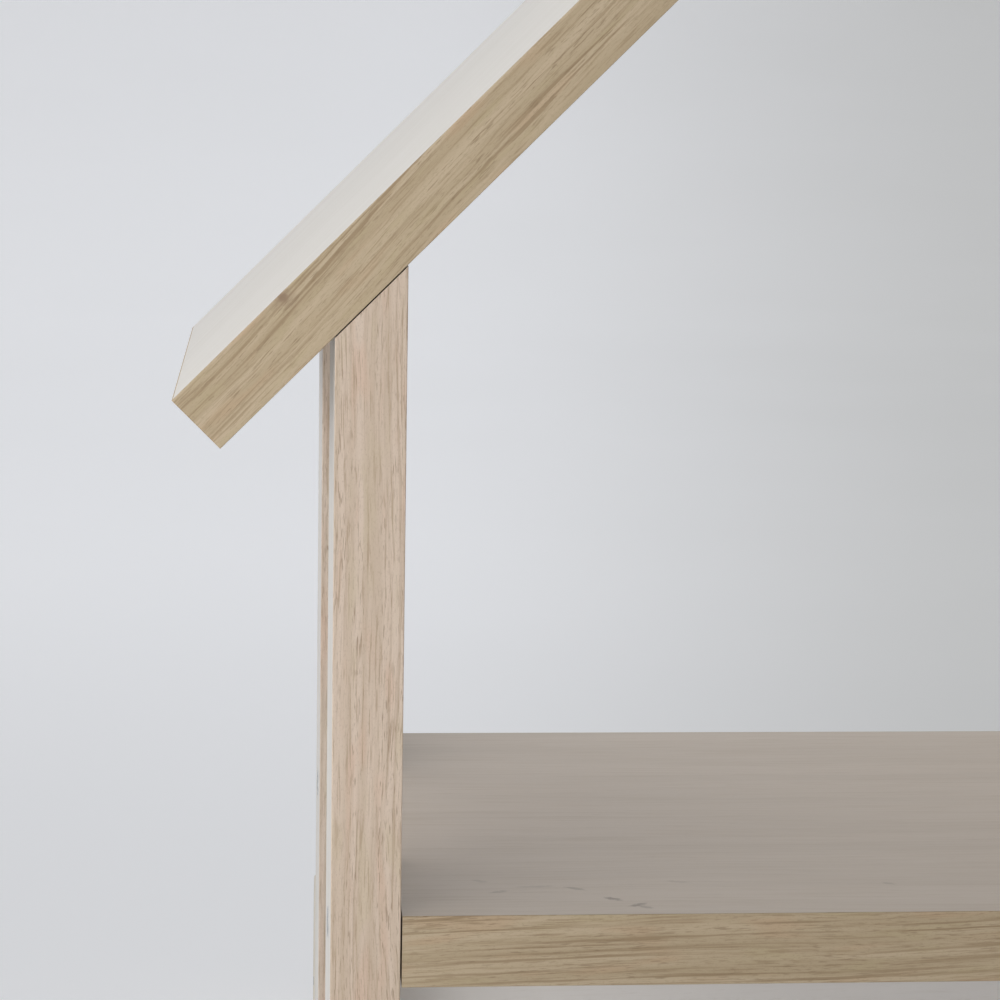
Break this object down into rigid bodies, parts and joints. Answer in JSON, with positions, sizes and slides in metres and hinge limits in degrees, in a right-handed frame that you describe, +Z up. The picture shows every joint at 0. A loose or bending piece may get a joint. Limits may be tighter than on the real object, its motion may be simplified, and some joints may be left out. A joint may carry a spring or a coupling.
{
  "type": "toddler slide",
  "caption": "House-shaped indoor toddler slide: gabled board tower with a deck, entry steps at the front and a lift-off chute at the back.",
  "frame": {"origin": "on the floor, at the middle of the overall bounding box", "axes": "+Z up, +Y from the entry steps to the foot of the chute, +X to the right seen from the steps"},
  "size_m": [0.7832, 1.7514, 1.1971],
  "materials": {
    "pale_laminate": "whitewashed oak-grain laminate, matt",
    "oak_band_warm": "oak-grain edge band, matt",
    "oak_band_rosy": "oak-grain edge band with a rosy tone, matt",
    "beech": "oiled beech",
    "pale_plywood": "clear-lacquered pale plywood",
    "steel": "zinc-plated steel",
    "zinc": "die-cast zinc",
    "glide_plastic": "moulded pale plastic",
    "pad_rubber": "soft black rubber"
  },
  "bodies": {
    "tower": {"base_rail_left": "pale_laminate", "base_rail_right": "pale_laminate", "cam_bolts": "steel", "cam_housings": "zinc", "cleat_rail": "beech", "cleat_screws": "steel", "deck_barrel_nuts": "zinc", "deck_board": "pale_laminate", "deck_board_edge_band": "oak_band_warm", "deck_bolts": "steel", "floor_glides": "glide_plastic", "guard_bar_left_lower": "beech", "guard_bar_left_upper": "beech", "guard_bar_right_lower": "beech", "guard_bar_right_upper": "beech", "post_front_left": "pale_laminate", "post_front_left_edge_band": "oak_band_rosy", "post_front_right": "pale_laminate", "post_front_right_edge_band": "oak_band_rosy", "post_rear_left": "pale_laminate", "post_rear_left_edge_band": "oak_band_rosy", "post_rear_right": "pale_laminate", "post_rear_right_edge_band": "oak_band_rosy", "rear_apron": "pale_laminate", "ridge_batten": "beech", "ridge_screws": "steel", "roof_board_left": "pale_laminate", "roof_board_left_edge_band": "oak_band_warm", "roof_board_right": "pale_laminate", "roof_board_right_edge_band": "oak_band_warm", "roof_pocket_screws": "steel", "step_bolts": "steel", "step_cross_rail": "pale_laminate", "step_screws": "steel", "step_side_left": "pale_laminate", "step_side_right": "pale_laminate", "step_sleeve_nuts": "zinc", "step_tread_lower": "pale_laminate", "step_tread_lower_edge_band": "oak_band_warm", "step_tread_upper": "pale_laminate", "step_tread_upper_edge_band": "oak_band_warm", "wood_dowels": "beech"},
    "chute": {"chute_batten_lower": "beech", "chute_batten_middle": "beech", "chute_batten_upper": "beech", "chute_bed": "pale_plywood", "chute_foot_rail": "beech", "chute_hanger": "beech", "chute_pads": "pad_rubber", "chute_screws": "steel", "chute_side_left": "pale_plywood", "chute_side_right": "pale_plywood"}
  },
  "joints": [
    {"name": "chute_lift", "type": "slide", "parent": "tower", "child": "chute", "axis": [0, 0, 1], "range_m": [0, 0.12]}
  ]
}
